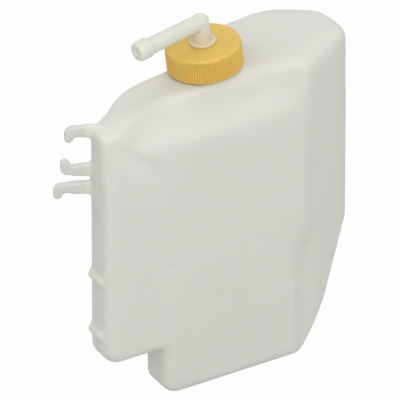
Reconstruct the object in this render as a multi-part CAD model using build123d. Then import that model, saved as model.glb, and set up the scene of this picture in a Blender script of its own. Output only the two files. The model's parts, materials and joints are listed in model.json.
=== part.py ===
from build123d import *
import math
import os

# Coolant expansion tank: a blow-moulded body with a screw cap, and a hose elbow
# that swivels in the cap. Millimetres, +Z up, front wall facing -Y.
# The origin is on the flat floor of the lower block, which the tank stands on.

# Body seen from above
wall = 2.5
front_y = -30.0
left_x = -102.4
front_width = 163.4
left_depth = 24.0
chamfer_run = 52.4
chamfer_depth = 27.0
right_lean = 3.0
right_depth = 34.8
back_right_run = 30.4
back_right_depth = 26.9
back_left_run = 46.0
back_left_depth = 33.8
back_middle_run = 40.0
back_middle_depth = 2.0
back_flat_run = 41.9
chamfer_round = 12.0
right_round = 12.0
back_right_round = 22.0
back_round = 35.0
back_hollow_round = 40.0
back_left_round = 60.0

# Body seen from the front
notch_width = 48.0
notch_height = 40.7
notch_round = 5.0
block_round = 13.0
block_depth = 27.0
floor_width = 116.4
knee_run = 24.0
knee_height = 32.0
knee_round = 11.0
ramp_run = 30.2
ramp_height = 67.0
foot_round = 11.0
edge_round = 8.0

# Crown, the slanting top that the neck stands square on
neck_x = 3.0
neck_y = 12.0
crown_height = 240.0
crown_tilt_x = 4.2
crown_tilt_y = 3.6

# Shoulder, a scoop in the front of the crown, with the drop of its front edge below the neck
shoulder_drop = 26.5
shoulder_slope = 42.0
shoulder_left = 7.4
shoulder_corner_run = 48.0
shoulder_depth = 27.0
shoulder_middle_run = 24.0
shoulder_middle_depth = 17.5
shoulder_right_run = 74.0
shoulder_right_depth = 12.5
shoulder_end_run = 16.0
shoulder_round = 12.0
crease_round = 10.0

# Groove down the lower part of the chamfered corner
groove_height = 96.0
groove_start = 9.0
groove_run = 11.0
groove_depth = 6.0
groove_width = 25.0
groove_round = 3.0

# Hose hooks on the back left edge, each with the drop of its underside below the neck
hook_thickness = 4.8
hook_height = 7.4
hook_root = 8.0
hook_flare = 2.4
hook_round = 6.0
hook_tip_round = 2.7
hook_tip_flat = 0.8
hook_inner_round = 2.0
hook_tip_straight = 0.4
top_hook_length = 18.0
top_hook_drop = 13.8
middle_hook_length = 21.0
middle_hook_drop = 45.6
bottom_hook_length = 26.0
bottom_hook_drop = 60.7

# Level ribs across the left wall
rib_radius = 4.5
rib_proud = 2.9
rib_margin = 7.0
full_level = 111.0
low_level = 65.0

# Neck
neck_radius = 21.0
neck_bore_radius = 17.5
neck_height = 14.4
neck_root = 5.0

# Screw cap
thread_room = 2.6
cap_wall = 3.9
cap_crown = 4.2
cap_lift_gap = 1.6
cap_rim = 1.2
knurl_count = 100
knurl_depth = 0.7
seal_thickness = 2.0
seal_margin = 0.8

# Hose elbow
elbow_yaw = 187.5
stem_radius = 6.0
swivel_clearance = 0.1
swivel_play = 0.2
flange_radius = 9.8
flange_thickness = 2.4
stub_base_radius = 7.0
tube_radius = 6.0
tube_length = 57.8
tube_rise = 16.8
elbow_swell = 0.3
bead_radius = 7.3
bead_length = 12.0
bead_taper = 1.6
elbow_bore_radius = 2.3
spigot_radius = 4.2
spigot_length = 11.0
retainer_radius = 10.0
retainer_thickness = 2.5
push_on_gap = 0.1

# Dip tube
dip_wall = 1.5
dip_floor_gap = 14.0

# Helper solids reach past the whole body, and helper outlines overrun a wall
reach = 400.0
overrun = 10.0

RISE = (Align.CENTER, Align.CENTER, Align.MIN)
HANG = (Align.CENTER, Align.CENTER, Align.MAX)

right_x = left_x + front_width + chamfer_run
right_y = front_y + chamfer_depth
block_x = left_x + notch_width
hook_corner = (left_x, front_y + left_depth)
lean = Vector(-math.tan(math.radians(crown_tilt_x)), math.tan(math.radians(crown_tilt_y)), 1)
crown = Plane(origin=(neck_x, neck_y, crown_height), z_dir=lean, x_dir=(1, 0, 0))


def outline(points, radii, grow=0.0):
    """Closed outline with a radius at each corner, grown or drawn in all round."""
    face = make_face(Polyline(*points, close=True))
    for point, radius in zip(points, radii):
        if radius:
            face = fillet(face.vertices().sort_by_distance(point)[0], radius)
    return offset(face, grow, kind=Kind.INTERSECTION) if grow else face


def plan_outline(inset):
    """Body from above. Its left end runs on past the left wall."""
    back_right_x = right_x - right_lean
    back_right_y = right_y + right_depth
    back_left_x = left_x + back_left_run
    back_left_y = front_y + left_depth + back_left_depth
    points = [
        (left_x - overrun, front_y),
        (left_x + front_width, front_y),
        (right_x, right_y),
        (back_right_x, back_right_y),
        (back_right_x - back_right_run, back_right_y + back_right_depth),
        (back_right_x - back_right_run - back_flat_run, back_right_y + back_right_depth),
        (back_left_x + back_middle_run, back_left_y + back_middle_depth),
        (back_left_x, back_left_y),
        (left_x - overrun, front_y + left_depth - overrun * back_left_depth / back_left_run),
    ]
    radii = [
        0,
        chamfer_round,
        right_round,
        back_right_round,
        back_round,
        back_round,
        back_hollow_round,
        back_left_round,
        0,
    ]
    return outline(points, radii, -inset)


def front_outline(inset):
    """Body from the front. Its top and its ramp run on past the body."""
    foot_x = block_x + floor_width
    knee_x = foot_x + knee_run
    points = [
        (block_x, 0),
        (foot_x, 0),
        (knee_x, knee_height),
        (knee_x + ramp_run * reach / ramp_height, knee_height + reach),
        (left_x, knee_height + reach),
        (left_x, notch_height),
        (block_x, notch_height),
    ]
    radii = [block_round, foot_round, knee_round, 0, 0, block_round, notch_round]
    return outline(points, radii, -inset)


def body_edges(form, inset):
    """Edges that are still sharp, which leaves out the seams of the rounded outlines."""
    sharp = form.edges().filter_by(Axis.Y, reverse=True)
    left = left_x + inset
    corners = sharp.filter_by(Axis.Z).filter_by_position(Axis.X, left - wall, left + wall)
    return sharp.filter_by(Axis.Z, reverse=True) + corners


def shoulder_cut(inset):
    """Scoop with a slanting floor and a rounded crease, larger by inset."""
    start_x = left_x + shoulder_left
    slope = shoulder_depth / shoulder_corner_run
    corner_x = start_x + shoulder_corner_run
    middle_x = corner_x + shoulder_middle_run
    end_x = middle_x + shoulder_right_run
    out_x = end_x + shoulder_end_run * (1 + overrun / shoulder_right_depth)
    points = [
        (start_x - overrun / slope, front_y - overrun),
        (corner_x, front_y + shoulder_depth),
        (middle_x, front_y + shoulder_middle_depth),
        (end_x, front_y + shoulder_right_depth),
        (out_x, front_y - overrun),
    ]
    face = outline(points, [0, shoulder_round, shoulder_round, shoulder_round, 0], inset)
    tilt = math.radians(shoulder_slope)
    floor = Plane(
        origin=(0, front_y, crown_height - shoulder_drop),
        x_dir=(1, 0, 0),
        z_dir=(0, -math.sin(tilt), math.cos(tilt)),
    ).offset(-inset)
    above = floor * Box(2 * reach, 2 * reach, reach, align=RISE)
    cut = (extrude(face, reach) & above).solid()
    bottom = cut.faces().sort_by_distance(floor.origin)[0]
    crease = [e for e in bottom.edges() if e.center().Y > front_y + wall]
    return fillet(crease, crease_round + inset)


def groove_cut(inset):
    """Shallow groove beside the chamfered corner, from the floor up."""
    start_x = left_x + front_width - groove_start
    chamfer_slope = chamfer_depth / chamfer_run
    end_x = start_x + groove_width
    end_y = front_y + (end_x - left_x - front_width) * chamfer_slope
    points = [
        (start_x - overrun * groove_run / groove_depth, front_y - overrun),
        (start_x + groove_run, front_y + groove_depth),
        (end_x, end_y),
        (end_x + overrun, end_y - overrun),
    ]
    face = outline(points, [0, groove_round, 0, 0], inset)
    return Pos(0, 0, -wall) * extrude(face, groove_height + inset + wall)


def step_cut(inset):
    """Room behind the lower block, which is as shallow at its left end as the body is."""
    slope = back_left_depth / back_left_run
    points = [
        (block_x - overrun, front_y + block_depth - overrun * slope),
        (block_x + reach, front_y + block_depth + reach * slope),
        (block_x - overrun, front_y + block_depth + reach * slope),
    ]
    face = outline(points, [0, 0, 0], inset)
    cut = Pos(0, 0, -wall) * extrude(face, notch_height + inset + wall)
    ledge_point = (block_x, front_y + block_depth, notch_height + inset)
    ledge = cut.edges().group_by(Axis.Z)[-1].sort_by_distance(ledge_point)[0]
    return fillet(ledge, notch_round + inset)


def body_form(inset):
    """Outer skin of the body, or with an inset its inner skin."""
    plan = extrude(plan_outline(inset), reach)
    front = extrude(Plane.XZ * front_outline(inset), reach, both=True)
    above = crown.offset(-inset) * Box(2 * reach, 2 * reach, reach, align=RISE)
    form = ((plan & front) - above).solid()
    form = fillet(body_edges(form, inset), edge_round - inset)
    for cut in (shoulder_cut, groove_cut, step_cut):
        form = (form - cut(inset)).solid()
    return form


def hook(length, drop, tip):
    """Flat hook in an upright plane that halves the back left corner; tip is up or down."""
    back_wall = math.atan2(back_left_depth, back_left_run)
    outward = (math.pi + back_wall + math.pi / 2) / 2
    upright = Plane(
        origin=(*hook_corner, crown_height - drop + hook_height / 2),
        x_dir=(math.cos(outward), math.sin(outward), 0),
        z_dir=(math.sin(outward), -math.cos(outward), 0),
    )
    half = hook_height / 2
    inner = length - 2 * hook_tip_round - hook_tip_flat
    end = -half - hook_inner_round - hook_tip_straight - hook_tip_round
    points = [
        (-hook_root, -half - hook_flare),
        (-hook_root, half + hook_flare),
        (length, half),
        (length, end),
        (inner, end),
        (inner, -half),
    ]
    radii = [0, 0, hook_round, hook_tip_round, hook_tip_round, hook_inner_round]
    face = outline(points, radii)
    if tip > 0:
        face = mirror(face, Plane.XZ)
    return extrude(upright * face, hook_thickness / 2, both=True)


def level_rib(level):
    length = left_depth - rib_margin
    middle = (left_x + rib_radius - rib_proud, front_y + rib_margin + length / 2, level)
    return Pos(*middle) * Rot(90, 0, 0) * Cylinder(rib_radius, length)


def tank_body():
    skin = body_form(0)
    hooks = [
        hook(top_hook_length, top_hook_drop, -1),
        hook(middle_hook_length, middle_hook_drop, 1),
        hook(bottom_hook_length, bottom_hook_drop, -1),
    ]
    ribs = [level_rib(full_level), level_rib(low_level)]
    neck = crown * Pos(0, 0, -neck_root) * Cylinder(neck_radius, neck_root + neck_height, align=RISE)
    bore = crown * Cylinder(neck_bore_radius, 2 * (neck_height + overrun))
    whole = skin.fuse(neck, *hooks, *ribs)
    return (whole - body_form(wall) - bore).solid()


# Heights above the crown plane, up the neck's axis
cap_under = neck_height + seal_thickness
cap_top = cap_under + cap_crown
cap_radius = neck_radius + thread_room + cap_wall


def at(height):
    return crown * Pos(0, 0, height)


def knurled_disc(height):
    """Ring of small teeth round the cap, as one outline."""
    points = []
    for step in range(2 * knurl_count):
        radius = cap_radius - knurl_depth * (step % 2)
        angle = math.pi * step / knurl_count
        points.append((radius * math.cos(angle), radius * math.sin(angle)))
    return extrude(make_face(Polyline(*points, close=True)), height)


def cap():
    height = cap_top - cap_lift_gap
    blank = Cylinder(cap_radius, height, align=RISE)
    blank = chamfer(blank.edges().sort_by(Axis.Z)[-1], cap_rim)
    solid = knurled_disc(height) & blank
    solid -= Cylinder(neck_radius + thread_room, cap_under - cap_lift_gap, align=RISE)
    solid -= Cylinder(stem_radius + swivel_clearance, height, align=RISE)
    return at(cap_lift_gap) * solid


def cap_seal():
    ring = Cylinder(neck_radius - seal_margin, seal_thickness, align=RISE)
    ring -= Cylinder(neck_bore_radius + seal_margin, seal_thickness, align=RISE)
    return at(neck_height) * ring


def hose_elbow():
    seat = cap_top + swivel_play
    retainer_foot = cap_under - swivel_play - retainer_thickness
    stub_height = tube_rise - flange_thickness
    stub_top_radius = tube_radius + elbow_swell
    solid = at(seat) * Cylinder(flange_radius, flange_thickness, align=RISE)
    stub = Cone(stub_base_radius, stub_top_radius, stub_height, align=RISE)
    solid += at(seat + flange_thickness) * stub
    bend = at(seat + tube_rise)
    outward = bend * Rot(0, 0, elbow_yaw) * Rot(0, 90, 0)
    solid += bend * Sphere(stub_top_radius)
    solid += outward * Cylinder(tube_radius, tube_length, align=RISE)
    back = tube_length - bead_length
    solid += outward * Pos(0, 0, back) * Cone(tube_radius, bead_radius, bead_taper, align=RISE)
    land = bead_length - 2 * bead_taper
    solid += outward * Pos(0, 0, back + bead_taper) * Cylinder(bead_radius, land, align=RISE)
    nose = Cone(bead_radius, tube_radius, bead_taper, align=RISE)
    solid += outward * Pos(0, 0, tube_length - bead_taper) * nose
    solid += at(seat) * Cylinder(stem_radius, seat - retainer_foot, align=HANG)
    solid += at(retainer_foot) * Cylinder(spigot_radius, spigot_length, align=HANG)
    depth = seat + tube_rise - retainer_foot + spigot_length
    solid -= bend * Cylinder(elbow_bore_radius, depth, align=HANG)
    solid -= outward * Cylinder(elbow_bore_radius, tube_length, align=RISE)
    return (solid - bend * Sphere(elbow_bore_radius)).solid()


def elbow_retainer():
    ring = Cylinder(retainer_radius, retainer_thickness, align=HANG)
    ring -= Cylinder(stem_radius + push_on_gap, retainer_thickness, align=HANG)
    return at(cap_under - swivel_play) * ring


def dip_tube():
    top = cap_under - swivel_play - retainer_thickness
    length = top + (crown_height - dip_floor_gap) * lean.length
    bore = spigot_radius + push_on_gap
    tube = Cylinder(bore + dip_wall, length, align=HANG) - Cylinder(bore, length, align=HANG)
    return at(top) * tube


nodes = {
    "tank_body": tank_body(),
    "cap": cap(),
    "cap_seal": cap_seal(),
    "hose_elbow": hose_elbow(),
    "elbow_retainer": elbow_retainer(),
    "dip_tube": dip_tube(),
}

os.makedirs("parts", exist_ok=True)
for name, shape in nodes.items():
    export_step(shape, f"parts/{name}.step")
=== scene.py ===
import json
import math

import bpy
import numpy as np
from mathutils import Matrix, Vector


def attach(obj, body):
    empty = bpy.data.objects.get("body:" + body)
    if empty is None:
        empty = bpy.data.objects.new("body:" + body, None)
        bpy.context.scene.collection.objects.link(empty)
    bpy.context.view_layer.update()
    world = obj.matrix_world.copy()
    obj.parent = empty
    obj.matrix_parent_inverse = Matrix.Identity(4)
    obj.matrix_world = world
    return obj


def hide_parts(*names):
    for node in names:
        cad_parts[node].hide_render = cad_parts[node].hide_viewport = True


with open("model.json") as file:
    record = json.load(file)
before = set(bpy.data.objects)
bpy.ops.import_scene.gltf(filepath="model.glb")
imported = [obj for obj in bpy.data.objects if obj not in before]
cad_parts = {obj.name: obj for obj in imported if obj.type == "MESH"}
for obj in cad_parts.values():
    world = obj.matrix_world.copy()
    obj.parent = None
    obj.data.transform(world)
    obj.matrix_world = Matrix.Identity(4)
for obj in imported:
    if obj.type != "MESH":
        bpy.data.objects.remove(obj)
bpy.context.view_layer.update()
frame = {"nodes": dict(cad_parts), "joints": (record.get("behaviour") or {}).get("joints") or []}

MM = 0.001
OUTWARD_LEFT = Vector((-1, 0, 0))
UPWARD = Vector((0, 0, 1))


def mm(*lengths):
    """Lengths in metres, from millimetres."""
    return tuple(length * MM for length in lengths)


def axes_at(spot, x, y, z):
    """Matrix of a frame at a spot with the axes x, y and z."""
    return Matrix.Translation(spot) @ Matrix((x, y, z)).transposed().to_4x4()


# The photograph's view: nearly parallel, from the front left and above
VIEW_TURN = math.radians(30.4)
VIEW_DROP = math.radians(32.7)
VIEW_WIDTH = 285.6 * MM
VIEW_RIGHT = -7.3 * MM
VIEW_UP = 113.9 * MM
VIEW_DEPTH = 60.0 * MM
VIEW_DISTANCE = 10.0
VIEW_REACH = 100.0
SENSOR = 36.0

# The neck's own frame, with its axis up from the crown
joints = {joint["name"]: joint for joint in frame["joints"]}
neck_point = Vector(joints["cap_turn"]["pos_m"])
neck_axis = Vector(joints["cap_turn"]["axis"]).normalized()
across = Vector((1, 0, 0))
across = (across - neck_axis * across.dot(neck_axis)).normalized()
beside = neck_axis.cross(across)
NECK = axes_at(neck_point, across, beside, neck_axis)

# Neck and cap, with heights in the neck's frame
NECK_RADIUS = 21.0 * MM
CAP_RADIUS = 27.5 * MM
CAP_RIM = CAP_RADIUS - 0.35 * MM
CAP_INNER = 23.6 * MM
CAP_HOLE = 6.1 * MM
CAP_FOOT = 1.6 * MM
CAP_UNDER = 16.4 * MM
CAP_TOP = 20.6 * MM
CAP_LEAD_IN = mm(0.4, 0.6)
CAP_TOP_RINGS = 8

# Roundings of the cap: outer edge of its top, other edges, and the corner inside with its margin
RIM_ROUND = 1.6 * MM
EDGE_ROUND = 0.5 * MM
CORNER_ROUND = 0.8 * MM
CORNER_MARGIN = 0.2 * MM

# Knurls round the cap: shallow at the foot, full between two heights, and fading below the rim
KNURLS = 100
KNURL_DEPTH = 0.8 * MM
KNURL_POWER = 1.5
KNURL_STEPS = 8
KNURL_ROWS = 5
KNURL_FOOT = 0.5
KNURL_LOW = CAP_FOOT + 1.2 * MM
KNURL_HIGH = CAP_TOP - 3.0 * MM
KNURL_FADE = (CAP_RADIUS - 0.1 * MM, CAP_TOP - 2.3 * MM, 0.6)

# Threads on the neck and in the cap, with steps per turn and steps over which an end fades
THREAD_LEAD = 6.0 * MM
THREAD_START = 3.2 * MM
THREAD_PROUD = 1.8 * MM
THREAD_SINK = 0.3 * MM
THREAD_HALF_ROOT = 1.25 * MM
THREAD_HALF_CREST = 0.55 * MM
THREAD_STEPS = 120
THREAD_END_STEPS = 18
THREAD_END_SHARE = 0.02
NECK_THREAD_TURNS = 1.4
CAP_THREAD_TURNS = 1.3

# Tube of the elbow
TUBE_TURN = math.radians(187.5)
TUBE_OUT = NECK.to_3x3() @ Vector((math.cos(TUBE_TURN), math.sin(TUBE_TURN), 0))
TUBE_START = NECK @ Vector((0, 0, 37.6 * MM))
TUBE_BORE = 2.3 * MM

# Walls of the tank, and the corner between two of them that its hooks stand out from
LEFT_X = -102.4 * MM
FRONT_Y = -30.0 * MM
OUTWARD_BACK_LEFT = Vector((-33.8, 46.0, 0)).normalized()
HOOK_CORNER = Vector((LEFT_X, -6.0 * MM, 0))
HOOK_OUT = (OUTWARD_LEFT + OUTWARD_BACK_LEFT).normalized()
HOOK_Z = 170.0 * MM

# Fineness of the softened skins
TANK_VOXEL = 1.25 * MM
TANK_TRIANGLES = 180000
ELBOW_VOXEL = 0.55 * MM


def make_object(name, vertices, faces):
    mesh = bpy.data.meshes.new(name)
    mesh.from_pydata([tuple(v) for v in vertices], [], faces)
    mesh.update()
    piece = bpy.data.objects.new(name, mesh)
    bpy.context.scene.collection.objects.link(piece)
    return piece


def shade_smooth(piece):
    mesh = piece.data
    mesh.polygons.foreach_set("use_smooth", [True] * len(mesh.polygons))
    mesh.update()


# Materials

# Range in which most of a noise's values lie
NOISE_LOW = 0.3
NOISE_HIGH = 0.7


class Nodes:
    """Short way to lay out one material's nodes."""

    def __init__(self, name):
        self.material = bpy.data.materials.new(name)
        self.material.use_nodes = True
        self.tree = self.material.node_tree
        self.shader = self.tree.nodes["Principled BSDF"]
        self.place = self.tree.nodes.new("ShaderNodeTexCoord").outputs["Object"]

    def add(self, kind, **settings):
        node = self.tree.nodes.new(kind)
        for key, value in settings.items():
            setattr(node, key, value)
        return node

    def link(self, output, socket):
        self.tree.links.new(output, socket)

    def noise(self, size, detail=3.0):
        """Noise whose patches are about size metres across."""
        node = self.add("ShaderNodeTexNoise")
        node.inputs["Scale"].default_value = 1.0 / size
        node.inputs["Detail"].default_value = detail
        self.link(self.place, node.inputs["Vector"])
        return node.outputs["Fac"]

    def ramp(self, value, dark, light, low=NOISE_LOW, high=NOISE_HIGH):
        """Colour that goes from dark to light as the value goes from low to high."""
        node = self.add("ShaderNodeValToRGB")
        for element, position, colour in zip(node.color_ramp.elements, (low, high), (dark, light)):
            element.position = position
            element.color = (*colour, 1.0)
        self.link(value, node.inputs["Fac"])
        return node.outputs["Color"]

    def spread(self, value, low, high):
        """Map a noise value to the range low to high."""
        node = self.add("ShaderNodeMapRange")
        node.inputs["From Min"].default_value = NOISE_LOW
        node.inputs["From Max"].default_value = NOISE_HIGH
        node.inputs["To Min"].default_value = low
        node.inputs["To Max"].default_value = high
        self.link(value, node.inputs["Value"])
        return node.outputs["Result"]

    def math(self, operation, *values):
        """One arithmetic step on sockets or plain numbers."""
        node = self.add("ShaderNodeMath", operation=operation)
        for socket, value in zip(node.inputs, values):
            if isinstance(value, (int, float)):
                socket.default_value = value
            else:
                self.link(value, socket)
        return node.outputs["Value"]

    def along(self, direction, origin=(0, 0, 0)):
        """Distance of a point from the origin along a direction."""
        dot = self.add("ShaderNodeVectorMath", operation="DOT_PRODUCT")
        dot.inputs[1].default_value = direction
        self.link(self.place, dot.inputs[0])
        return self.math("SUBTRACT", dot.outputs["Value"], Vector(direction).dot(Vector(origin)))

    def away(self, direction, origin):
        """Distance of a point from the line through the origin along a direction."""
        offset = self.add("ShaderNodeVectorMath", operation="SUBTRACT")
        offset.inputs[1].default_value = origin
        self.link(self.place, offset.inputs[0])
        cross = self.add("ShaderNodeVectorMath", operation="CROSS_PRODUCT")
        cross.inputs[1].default_value = direction
        self.link(offset.outputs["Vector"], cross.inputs[0])
        length = self.add("ShaderNodeVectorMath", operation="LENGTH")
        self.link(cross.outputs["Vector"], length.inputs[0])
        return length.outputs["Value"]

    def rise(self, value, start, end):
        """Smooth change from 0 at start to 1 at end."""
        node = self.add("ShaderNodeMapRange", interpolation_type="SMOOTHSTEP")
        node.inputs["From Min"].default_value = start
        node.inputs["From Max"].default_value = end
        self.link(value, node.inputs["Value"])
        return node.outputs["Result"]

    def tint(self, colour, share, tone):
        """Multiply the colour by a tone, by share."""
        node = self.add("ShaderNodeMix", data_type="RGBA", blend_type="MULTIPLY")
        self.link(share, node.inputs["Factor"])
        self.link(colour, node.inputs["A"])
        node.inputs["B"].default_value = (*tone, 1.0)
        return node.outputs["Result"]

    def bump(self, heights):
        """Chain of bumps, each a value with its strength and its depth in metres."""
        normal = None
        for value, strength, depth in heights:
            node = self.add("ShaderNodeBump")
            node.inputs["Strength"].default_value = strength
            node.inputs["Distance"].default_value = depth
            self.link(value, node.inputs["Height"])
            if normal:
                self.link(normal, node.inputs["Normal"])
            normal = node.outputs["Normal"]
        self.link(normal, self.shader.inputs["Normal"])


# Milky plastic: sizes of its patches, range of its roughness, strength and depth of its bumps
MILKY_CLOUD = 60 * MM
MILKY_SHEEN = 9 * MM
MILKY_RIPPLE = 22 * MM
MILKY_GRAIN = 0.9 * MM
MILKY_ROUGHNESS = (0.42, 0.56)
RIPPLE_BUMP = (0.25, 0.6 * MM)
GRAIN_BUMP = (0.06, 0.2 * MM)

# Where the tank's colour changes: painted reflection of the yellow cap on the crown near the cap, and
# darker, greyer out along the hooks
CROWN_NEAR = mm(50, 30)
CROWN_HIGH = mm(-25, -15)
PAINTED_CAP_REFLECTION = (0.980, 0.976, 0.950)
HOOK_START = mm(0, 5)
HOOK_HIGH = (HOOK_Z - 5 * MM, HOOK_Z)
HOOK_TONE = (0.90, 0.90, 0.92)

# Where the elbow's colour changes: a painted glow inside the end of its bore, and a painted
# reflection of the yellow cap down near the cap
BORE_EDGE = (TUBE_BORE + 0.5 * MM, TUBE_BORE + 0.1 * MM)
BORE_END = mm(30, 35)
BORE_PAINTED_GLOW = 0.11
BORE_GLOW_COLOUR = (0.80, 0.81, 0.74, 1.0)
ELBOW_FOOT = (CAP_TOP + 16 * MM, CAP_TOP)
PAINTED_FOOT_REFLECTION = (0.98, 0.85, 0.67)

# The same for the cap, with its colours and where the painted shade between its knurls lies
CAP_DARK = (0.757, 0.500, 0.102)
CAP_LIGHT = (0.798, 0.534, 0.119)
CAP_FLOW = 14 * MM
CAP_SHEEN = 4 * MM
CAP_GRAIN = 0.6 * MM
CAP_ROUGHNESS = (0.38, 0.52)
CAP_BUMP = (0.08, 0.15 * MM)
KNURL_PAINTED_SHADE = (0.86, 0.82, 0.74)
KNURL_SHADE_RADIUS = (CAP_RADIUS - 1.6 * MM, CAP_RADIUS - 1.1 * MM)
KNURL_SHADE_HEIGHT = (CAP_TOP - 1.8 * MM, CAP_TOP - 2.8 * MM)

# The same for rubber, with the range of its noise over which it goes from clean to dusty
RUBBER_DUST = 5 * MM
RUBBER_SHEEN = 2 * MM
RUBBER_GRAIN = 0.4 * MM
RUBBER_BUMP = (0.15, 0.1 * MM)
DUST_LOW = 0.35
DUST_HIGH = 0.75


def milky_plastic(name, dark, light, glow, shaded):
    """Unpigmented moulded plastic: cloudy, satin and lit from within; shaded adds tints by place,
    painted light among them.
    """
    nodes = Nodes(name)
    cloud = nodes.noise(MILKY_CLOUD, detail=4.0)
    colour = shaded(nodes, nodes.ramp(cloud, dark, light))
    nodes.link(colour, nodes.shader.inputs["Base Color"])
    sheen = nodes.spread(nodes.noise(MILKY_SHEEN), *MILKY_ROUGHNESS)
    nodes.link(sheen, nodes.shader.inputs["Roughness"])
    nodes.shader.inputs["IOR"].default_value = 1.5
    nodes.shader.inputs["Specular IOR Level"].default_value = 0.35
    nodes.shader.inputs["Subsurface Weight"].default_value = glow
    nodes.shader.inputs["Subsurface Radius"].default_value = (1.0, 0.95, 0.75)
    nodes.shader.inputs["Subsurface Scale"].default_value = 6 * MM
    ripple = nodes.noise(MILKY_RIPPLE, detail=1.0)
    grain = nodes.noise(MILKY_GRAIN, detail=2.0)
    nodes.bump([(ripple, *RIPPLE_BUMP), (grain, *GRAIN_BUMP)])
    return nodes.material


def cap_reflection_and_darker_hooks(nodes, colour):
    """Painted reflection of the yellow cap, tinting the crown warmer near it; and darker, greyer out
    along the hooks.
    """
    # Painted reflection: the crown near the cap is tinted towards the cap's yellow
    near = nodes.rise(nodes.away(neck_axis, neck_point), *CROWN_NEAR)
    high = nodes.rise(nodes.along(neck_axis, neck_point), *CROWN_HIGH)
    colour = nodes.tint(colour, nodes.math("MULTIPLY", near, high), PAINTED_CAP_REFLECTION)
    # Darker and a little greyer out along the hooks
    out = nodes.rise(nodes.along(HOOK_OUT, HOOK_CORNER), *HOOK_START)
    high = nodes.rise(nodes.along(UPWARD), *HOOK_HIGH)
    return nodes.tint(colour, nodes.math("MULTIPLY", out, high), HOOK_TONE)


def bore_glow_and_cap_reflection(nodes, colour):
    """Painted glow inside the end of the bore; and painted reflection of the yellow cap, tinting the
    elbow warmer near its foot.
    """
    # Painted glow: the inside of the bore near its end emits light
    bore = nodes.rise(nodes.away(TUBE_OUT, TUBE_START), *BORE_EDGE)
    end = nodes.rise(nodes.along(TUBE_OUT, TUBE_START), *BORE_END)
    painted_glow = nodes.math("MULTIPLY", nodes.math("MULTIPLY", bore, end), BORE_PAINTED_GLOW)
    nodes.link(painted_glow, nodes.shader.inputs["Emission Strength"])
    nodes.shader.inputs["Emission Color"].default_value = BORE_GLOW_COLOUR
    # Painted reflection: the elbow is tinted towards the cap's yellow near its foot
    foot = nodes.rise(nodes.along(neck_axis, neck_point), *ELBOW_FOOT)
    return nodes.tint(colour, foot, PAINTED_FOOT_REFLECTION)


def cap_plastic():
    """Yellow moulded plastic with a faint flow pattern, and painted shade between the knurls."""
    nodes = Nodes("cap_yellow")
    colour = nodes.ramp(nodes.noise(CAP_FLOW, detail=4.0), CAP_DARK, CAP_LIGHT)
    # Painted shade: the grooves between the knurls on the cap's side are darkened
    x = nodes.along(across, neck_point)
    y = nodes.along(beside, neck_point)
    wave = nodes.math("COSINE", nodes.math("MULTIPLY", nodes.math("ARCTAN2", y, x), KNURLS))
    groove = nodes.rise(wave, 1.0, -1.0)
    outer = nodes.rise(nodes.away(neck_axis, neck_point), *KNURL_SHADE_RADIUS)
    side = nodes.rise(nodes.along(neck_axis, neck_point), *KNURL_SHADE_HEIGHT)
    share = nodes.math("MULTIPLY", groove, nodes.math("MULTIPLY", outer, side))
    colour = nodes.tint(colour, share, KNURL_PAINTED_SHADE)
    nodes.link(colour, nodes.shader.inputs["Base Color"])
    sheen = nodes.spread(nodes.noise(CAP_SHEEN), *CAP_ROUGHNESS)
    nodes.link(sheen, nodes.shader.inputs["Roughness"])
    nodes.shader.inputs["Specular IOR Level"].default_value = 0.4
    nodes.bump([(nodes.noise(CAP_GRAIN, detail=2.0), *CAP_BUMP)])
    return nodes.material


def rubber(name, dark, light, roughness):
    """Matt rubber with dusty patches."""
    nodes = Nodes(name)
    dust = nodes.noise(RUBBER_DUST, detail=5.0)
    colour = nodes.ramp(dust, dark, light, DUST_LOW, DUST_HIGH)
    nodes.link(colour, nodes.shader.inputs["Base Color"])
    sheen = nodes.spread(nodes.noise(RUBBER_SHEEN), *roughness)
    nodes.link(sheen, nodes.shader.inputs["Roughness"])
    nodes.bump([(nodes.noise(RUBBER_GRAIN, detail=3.0), *RUBBER_BUMP)])
    return nodes.material


TANK = milky_plastic(
    "tank_milky", (0.718, 0.727, 0.677), (0.738, 0.746, 0.699), glow=0.35, shaded=cap_reflection_and_darker_hooks
)
ELBOW = milky_plastic(
    "elbow_white", (0.706, 0.716, 0.650), (0.725, 0.732, 0.675), glow=0.8, shaded=bore_glow_and_cap_reflection
)
YELLOW = cap_plastic()
SEAL = rubber("seal_rubber", (0.018, 0.018, 0.018), (0.05, 0.05, 0.05), roughness=(0.6, 0.8))
HOSE = rubber("tube_rubber", (0.03, 0.03, 0.032), (0.075, 0.075, 0.08), roughness=(0.5, 0.7))


def paint(piece, material):
    piece.data.materials.clear()
    piece.data.materials.append(material)


def place(piece, body, slot, material, *replaced):
    paint(piece, material)
    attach(piece, body)
    if replaced:
        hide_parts(*replaced)


# Softened skins

# Share of the way to its neighbours' mean that a point moves in one pass
SOFT_FREE = 0.5
SOFT_HOOK = 0.3
SOFT_NECK = 0.1

# Where the neck, the hooks and their roots on the wall begin
NECK_MARGIN = 1 * MM
HOOK_FADE = mm(-1.5, 1.5)
ROOT_FADE = mm(-16, -5)

# Ranges over which the parts of the tank that are softened more fade in or out
SHOULDER_Z = mm(190, 205)
SHOULDER_Y = mm(0, 20)
RIDGE_Z = mm(190, 206)
RIDGE_LEFT = mm(22, 45)
RIDGE_Y = mm(6, 18)
CORNER_Z = mm(185, 205)
CORNER_LEFT = mm(75, 92)

# Low end, high end and fade of the same for the shoulder's right part and the corner's groove
SHOULDER_RIGHT = mm(10, 80, 25)
GROOVE_X = mm(50, 90, 10)
GROOVE_Z = mm(84, 104, 12)

# Depth behind the front wall over which its marks fade out
FRONT_FADE = (FRONT_Y + 3 * MM, FRONT_Y + 14 * MM)

# Level dash sunk in the front wall
DASH = mm(-46.4, 110.6)
DASH_HALF = mm(3.4, 0.9)
DASH_FADE = 1 * MM
DASH_DEPTH = 0.8 * MM

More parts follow.
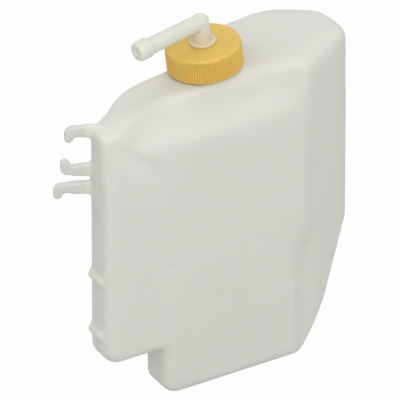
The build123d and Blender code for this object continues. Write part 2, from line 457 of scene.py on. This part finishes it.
# Shallow valley that runs down the front wall from the left end of the shoulder
VALLEY = [mm(-97.0, 227.0), mm(-70.0, 203.5), mm(-46.0, 183.0)]
VALLEY_DEPTH = 3.0 * MM
VALLEY_WIDTH = 6.0 * MM
VALLEY_RISE = (-0.15, 0.3)
VALLEY_FALL = (0.35, 1.0)

# Left end of the scoop in the shoulder: a slope down from its ridge instead of an upright wall
SCOOP_EDGE = mm(-95.0, -30.0, 229.0)
SCOOP_RIDGE = (48.0, 27.0)
SCOOP_LEAN = math.radians(60.0)
SCOOP_FLOOR_Z = 213.5 * MM
SCOOP_FLOOR_SLOPE = math.tan(math.radians(42.0))
SCOOP_LEFT = -20.0 * MM
FLOOR_MARGIN = 1.2 * MM
FRONT_MARGIN = 0.5 * MM
RIDGE_MARGIN = 1.0 * MM

# Heights over which the elbow's softening fades in, and its passes
ELBOW_FADE = (CAP_TOP + 0.5 * MM, CAP_TOP + 2 * MM)
ELBOW_PASSES = 6


def bake(piece):
    """Apply the piece's modifiers."""
    bpy.context.view_layer.update()
    source = piece.evaluated_get(bpy.context.evaluated_depsgraph_get())
    mesh = bpy.data.meshes.new_from_object(source)
    piece.modifiers.clear()
    old = piece.data
    piece.data = mesh
    bpy.data.meshes.remove(old)


def even_copy(node, name, voxel):
    """Copy of a CAD node as one closed skin of even quads."""
    mesh = frame["nodes"][node].data.copy()
    mesh.name = name
    piece = bpy.data.objects.new(name, mesh)
    bpy.context.scene.collection.objects.link(piece)
    remesh = piece.modifiers.new("even", "REMESH")
    remesh.mode = "VOXEL"
    remesh.voxel_size = voxel
    bake(piece)
    return piece


def get_points(piece):
    points = np.empty(len(piece.data.vertices) * 3)
    piece.data.vertices.foreach_get("co", points)
    return points.reshape(-1, 3)


def set_points(piece, points):
    piece.data.vertices.foreach_set("co", points.ravel())
    piece.data.update()


def soften(piece, points, weight, passes):
    """Move each point towards the mean of its neighbours, by weight, several times."""
    ends = np.empty(len(piece.data.edges) * 2, dtype=np.int32)
    piece.data.edges.foreach_get("vertices", ends)
    first, second = ends.reshape(-1, 2).T
    count = len(points)
    degree = np.bincount(first, minlength=count) + np.bincount(second, minlength=count)
    for _ in range(passes):
        total = np.empty_like(points)
        for axis in range(3):
            total[:, axis] = np.bincount(first, points[second, axis], count)
            total[:, axis] += np.bincount(second, points[first, axis], count)
        mean = total / degree[:, None]
        points = points + (mean - points) * weight[:, None]
    return points


def to_neck(points):
    """The points in the neck's own frame."""
    turn = np.array(NECK.inverted())
    return points @ turn[:3, :3].T + turn[:3, 3]


def step(value, low, high):
    """Smooth rise from 0 at low to 1 at high."""
    share = np.clip((value - low) / (high - low), 0, 1)
    return share * share * (3 - 2 * share)


def between(value, low, high, fade):
    """1 from low to high, and a smooth fall to 0 over fade outside that."""
    return step(value, low - fade, low) * (1 - step(value, high, high + fade))


def sink_front(points, depth):
    """Push the front wall in by depth, given point by point."""
    points[:, 1] += depth * (1 - step(points[:, 1], *FRONT_FADE))


def valley_depth(points):
    """Depth of the valley, with a round section that fades out along its run."""
    spot = points[:, [0, 2]]
    deepest = np.zeros(len(points))
    runs = list(zip(VALLEY, VALLEY[1:]))
    for k, (start, end) in enumerate(runs):
        start, end = np.array(start), np.array(end)
        run = end - start
        share = np.clip((spot - start) @ run / (run @ run), 0, 1)
        away = np.linalg.norm(spot - start - share[:, None] * run, axis=1)
        along = (k + share) / len(runs)
        part = step(along, *VALLEY_RISE) * (1 - step(along, *VALLEY_FALL))
        deepest = np.maximum(deepest, part * np.exp(-((away / VALLEY_WIDTH) ** 2)))
    return VALLEY_DEPTH * deepest


def dash_depth(points):
    """Depth of the level dash."""
    x_half, z_half = DASH_HALF
    wide = between(points[:, 0] - DASH[0], -x_half, x_half, DASH_FADE)
    tall = between(points[:, 2] - DASH[1], -z_half, z_half, DASH_FADE)
    return DASH_DEPTH * wide * tall


def lean_scoop(points):
    """Bring the left end of the scoop out to a slope that leans down from the ridge."""
    run = np.array(SCOOP_RIDGE) / np.linalg.norm(SCOOP_RIDGE)
    inward = np.array([run[1], -run[0], 0.0])
    normal = inward * math.sin(SCOOP_LEAN) + np.array([0.0, 0.0, math.cos(SCOOP_LEAN)])
    offset = points - np.array(SCOOP_EDGE)
    below = -offset @ normal
    floor_z = SCOOP_FLOOR_Z + (points[:, 1] - FRONT_Y) * SCOOP_FLOOR_SLOPE
    in_scoop = (points[:, 2] > floor_z - FLOOR_MARGIN) & (points[:, 1] > FRONT_Y - FRONT_MARGIN)
    in_scoop &= (offset @ inward > -RIDGE_MARGIN) & (points[:, 0] < SCOOP_LEFT) & (below > 0)
    moved = points + below[:, None] * normal
    moved[:, 1] = np.maximum(moved[:, 1], FRONT_Y)
    return np.where(in_scoop[:, None], moved, points)


def tank_skin():
    skin = even_copy("tank_body", "tank_skin", TANK_VOXEL)
    points = get_points(skin)
    x, y, z = points.T
    neck = to_neck(points)
    radius = np.hypot(neck[:, 0], neck[:, 1])
    on_neck = (radius < NECK_RADIUS + NECK_MARGIN) & (neck[:, 2] > NECK_MARGIN)
    reach = (points - np.array(HOOK_CORNER)) @ np.array(HOOK_OUT)
    on_hook = step(reach, *HOOK_FADE) * (z > HOOK_Z)
    off_root = 1 - step(reach, *ROOT_FADE)
    free = SOFT_FREE * (1 - on_hook) * ~on_neck
    gentle = np.where(on_neck, SOFT_NECK, SOFT_FREE + (SOFT_HOOK - SOFT_FREE) * on_hook)
    shoulder = step(z, *SHOULDER_Z) * (1 - step(y, *SHOULDER_Y))
    ridge = step(z, *RIDGE_Z) * step(-x, *RIDGE_LEFT) * (1 - step(y, *RIDGE_Y))
    corner = step(z, *CORNER_Z) * step(-x, *CORNER_LEFT)
    groove = between(x, *GROOVE_X) * between(z, *GROOVE_Z)
    # Weight and number of passes of each softening in turn
    softenings = [
        (gentle, 3),
        (free, 8),
        (free * shoulder * off_root, 35),
        (free * shoulder * between(x, *SHOULDER_RIGHT), 170),
        (free * ridge * off_root, 50),
        (free * corner * off_root, 40),
        (free * groove, 90),
    ]
    points = lean_scoop(points)
    for weight, passes in softenings:
        points = soften(skin, points, weight, passes)
    sink_front(points, valley_depth(points))
    sink_front(points, dash_depth(points))
    set_points(skin, points)
    shrink = skin.modifiers.new("lighter", "DECIMATE")
    shrink.ratio = min(1.0, TANK_TRIANGLES / (2 * len(skin.data.polygons)))
    bake(skin)
    shade_smooth(skin)
    place(skin, "tank", "tank_plastic", TANK, "tank_body")


def elbow_skin():
    skin = even_copy("hose_elbow", "elbow_skin", ELBOW_VOXEL)
    points = get_points(skin)
    above = step(to_neck(points)[:, 2], *ELBOW_FADE)
    set_points(skin, soften(skin, points, SOFT_FREE * above, ELBOW_PASSES))
    shade_smooth(skin)
    place(skin, "elbow", "elbow_plastic", ELBOW, "hose_elbow")


# Screw cap and threads

def revolve(name, profile, segments, radius_at):
    """Closed ring from a closed profile of (radius, height, wave) round the neck's axis."""
    vertices = []
    for turn in range(segments):
        angle = 2 * math.pi * turn / segments
        for radius, height, wave in profile:
            r = radius_at(radius, angle, wave)
            vertices.append(NECK @ Vector((r * math.cos(angle), r * math.sin(angle), height)))
    rows = len(profile)
    faces = []
    for turn in range(segments):
        here = turn * rows
        there = (turn + 1) % segments * rows
        for row in range(rows):
            after = (row + 1) % rows
            faces.append((here + row, there + row, there + after, here + after))
    return make_object(name, vertices, faces)


def arc(centre, radius, start, end, wave=0.0, steps=4):
    """Points of a profile along an arc, angles in degrees from outward."""
    points = []
    for k in range(steps + 1):
        angle = math.radians(start + (end - start) * k / steps)
        out, up = radius * math.cos(angle), radius * math.sin(angle)
        points.append((centre[0] + out, centre[1] + up, wave))
    return points


def knurled(radius, angle, wave):
    """Radius less the groove between two knurls, by wave."""
    tooth = 0.5 - 0.5 * math.cos(KNURLS * angle)
    return radius - wave * KNURL_DEPTH * tooth ** KNURL_POWER


def cap_skin():
    rim = CAP_RIM - RIM_ROUND
    hole = CAP_HOLE + EDGE_ROUND
    corner = CAP_INNER - CORNER_ROUND
    lead_in, lead_up = CAP_LEAD_IN
    profile = arc((CAP_RIM - EDGE_ROUND, CAP_FOOT + EDGE_ROUND), EDGE_ROUND, -90, 0, KNURL_FOOT)
    for k in range(KNURL_ROWS + 1):
        height = KNURL_LOW + (KNURL_HIGH - KNURL_LOW) * k / KNURL_ROWS
        profile.append((CAP_RADIUS, height, 1.0))
    profile.append(KNURL_FADE)
    profile += arc((rim, CAP_TOP - RIM_ROUND), RIM_ROUND, 0, 90, steps=8)
    for k in range(1, CAP_TOP_RINGS):
        profile.append((rim + (hole - rim) * k / CAP_TOP_RINGS, CAP_TOP, 0.0))
    profile += arc((hole, CAP_TOP - EDGE_ROUND), EDGE_ROUND, 90, 180)
    profile += arc((hole, CAP_UNDER + EDGE_ROUND), EDGE_ROUND, 180, 270)
    profile.append((corner - CORNER_MARGIN, CAP_UNDER, 0.0))
    profile += arc((corner, CAP_UNDER - CORNER_ROUND), CORNER_ROUND, 90, 0)
    profile.append((CAP_INNER, CAP_FOOT + lead_up, 0.0))
    profile.append((CAP_INNER + lead_in, CAP_FOOT, 0.0))
    skin = revolve("cap_skin", profile, KNURLS * KNURL_STEPS, knurled)
    shade_smooth(skin)
    place(skin, "screw_cap", "cap_plastic", YELLOW, "cap")


def thread(name, root, crest, turns, turned):
    """Helical ridge from the root radius to the crest, fading in and out at its ends."""
    steps = int(THREAD_STEPS * turns)
    vertices = []
    for k in range(steps + 1):
        angle = 2 * math.pi * turns * k / steps
        fade = math.sin(min(1.0, min(k, steps - k) / THREAD_END_STEPS) * math.pi / 2)
        height = THREAD_START + THREAD_LEAD * angle / (2 * math.pi)
        tip = root + (crest - root) * max(fade, THREAD_END_SHARE)
        cosine, sine = math.cos(angle + turned), math.sin(angle + turned)
        for radius, rise in (
            (root, -THREAD_HALF_ROOT),
            (tip, -THREAD_HALF_CREST),
            (tip, THREAD_HALF_CREST),
            (root, THREAD_HALF_ROOT),
        ):
            vertices.append(NECK @ Vector((radius * cosine, radius * sine, height + rise)))
    faces = [(0, 1, 2, 3), tuple(4 * steps + c for c in (3, 2, 1, 0))]
    for k in range(steps):
        for c in range(4):
            d = (c + 1) % 4
            faces.append((4 * k + c, 4 * k + 4 + c, 4 * k + 4 + d, 4 * k + d))
    if crest < root:
        faces = [face[::-1] for face in faces]
    return make_object(name, vertices, faces)


tank_skin()
elbow_skin()
cap_skin()

neck_thread = thread(
    "neck_thread", NECK_RADIUS - THREAD_SINK, NECK_RADIUS + THREAD_PROUD, NECK_THREAD_TURNS, 0.0
)
place(neck_thread, "tank", "tank_plastic", TANK)
cap_thread = thread(
    "cap_thread", CAP_INNER + THREAD_SINK, CAP_INNER - THREAD_PROUD, CAP_THREAD_TURNS, math.pi
)
place(cap_thread, "screw_cap", "cap_plastic", YELLOW)

paint(frame["nodes"]["cap_seal"], SEAL)
paint(frame["nodes"]["elbow_retainer"], ELBOW)
paint(frame["nodes"]["dip_tube"], HOSE)


# Stage, light and camera

FLOOR_HALF = 6.0
FLOOR_Z = -0.5 * MM
FLOOR_COLOUR = (0.62, 0.615, 0.60)
FLOOR_PATCH = 0.5
FLOOR_PATCH_TONE = 0.985
FLOOR_WHITE = 0.97
WHITE = (1.0, 1.0, 1.0, 1.0)
ROOM_COLOUR = (1.0, 0.99, 0.955, 1.0)
ROOM_LIGHT = 0.57
AIM = Vector((0.0, 0.0, 0.12))
SEEN_RAYS = ("Is Camera Ray", "Is Glossy Ray", "Is Transmission Ray")


def seen_rays(tree):
    """1 for the rays that show the background itself, and 0 for those that only light it."""
    rays = tree.nodes.new("ShaderNodeLightPath").outputs
    seen = rays[SEEN_RAYS[0]]
    for kind in SEEN_RAYS[1:]:
        either = tree.nodes.new("ShaderNodeMath")
        either.operation = "MAXIMUM"
        tree.links.new(seen, either.inputs[0])
        tree.links.new(rays[kind], either.inputs[1])
        seen = either.outputs["Value"]
    return seen


def pale(name, colour, share):
    """Pale surface that is seen nearly white, by share, and that keeps a soft shadow."""
    nodes = Nodes(name)
    patch = tuple(FLOOR_PATCH_TONE * c for c in colour)
    nodes.link(nodes.ramp(nodes.noise(FLOOR_PATCH), colour, patch), nodes.shader.inputs["Base Color"])
    nodes.shader.inputs["Roughness"].default_value = 0.9
    glow = nodes.add("ShaderNodeEmission")
    glow.inputs["Strength"].default_value = 1.0
    mix = nodes.add("ShaderNodeMixShader")
    nodes.link(nodes.math("MULTIPLY", seen_rays(nodes.tree), share), mix.inputs["Fac"])
    nodes.link(nodes.shader.outputs["BSDF"], mix.inputs[1])
    nodes.link(glow.outputs["Emission"], mix.inputs[2])
    nodes.link(mix.outputs["Shader"], nodes.tree.nodes["Material Output"].inputs["Surface"])
    return nodes.material


floor_corners = ((-1, -1), (1, -1), (1, 1), (-1, 1))
floor = make_object(
    "floor", [(x * FLOOR_HALF, y * FLOOR_HALF, FLOOR_Z) for x, y in floor_corners], [(0, 1, 2, 3)]
)
paint(floor, pale("floor_pale", FLOOR_COLOUR, FLOOR_WHITE))

world = bpy.data.worlds.new("studio")
bpy.context.scene.world = world
world.use_nodes = True
sky = world.node_tree
room = sky.nodes["Background"]
room.inputs["Color"].default_value = ROOM_COLOUR
room.inputs["Strength"].default_value = ROOM_LIGHT
white = sky.nodes.new("ShaderNodeBackground")
white.inputs["Color"].default_value = WHITE
white.inputs["Strength"].default_value = 1.0
choose = sky.nodes.new("ShaderNodeMixShader")
sky.links.new(seen_rays(sky), choose.inputs["Fac"])
sky.links.new(room.outputs["Background"], choose.inputs[1])
sky.links.new(white.outputs["Background"], choose.inputs[2])
sky.links.new(choose.outputs["Shader"], sky.nodes["World Output"].inputs["Surface"])


def lamp(name, spot, size, power):
    """Round lamp at a spot, aimed at the middle of the tank."""
    light = bpy.data.lights.new(name, "AREA")
    light.shape = "DISK"
    light.size = size
    light.energy = power
    piece = bpy.data.objects.new(name, light)
    piece.location = spot
    piece.rotation_euler = (AIM - Vector(spot)).to_track_quat("-Z", "Y").to_euler()
    bpy.context.scene.collection.objects.link(piece)


lamp("key", (-0.52, -1.74, 1.71), size=2.0, power=27.0)
lamp("overhead", (0.35, 0.35, 1.5), size=0.6, power=1.8)
lamp("fill", (-1.4, 0.9, 1.1), size=1.0, power=3.6)

to_camera = Vector(
    (
        -math.cos(VIEW_DROP) * math.sin(VIEW_TURN),
        -math.cos(VIEW_DROP) * math.cos(VIEW_TURN),
        math.sin(VIEW_DROP),
    )
)
right = Vector((math.cos(VIEW_TURN), -math.sin(VIEW_TURN), 0))
up = to_camera.cross(right)
target = right * VIEW_RIGHT + up * VIEW_UP + to_camera * VIEW_DEPTH
camera_data = bpy.data.cameras.new("camera")
camera_data.sensor_width = SENSOR
camera_data.lens = SENSOR * VIEW_DISTANCE / VIEW_WIDTH
camera_data.clip_end = VIEW_REACH
camera = bpy.data.objects.new("camera", camera_data)
camera.matrix_world = axes_at(target + to_camera * VIEW_DISTANCE, right, up, to_camera)
bpy.context.scene.collection.objects.link(camera)
bpy.context.scene.camera = camera
bpy.context.scene.view_settings.view_transform = "Standard"
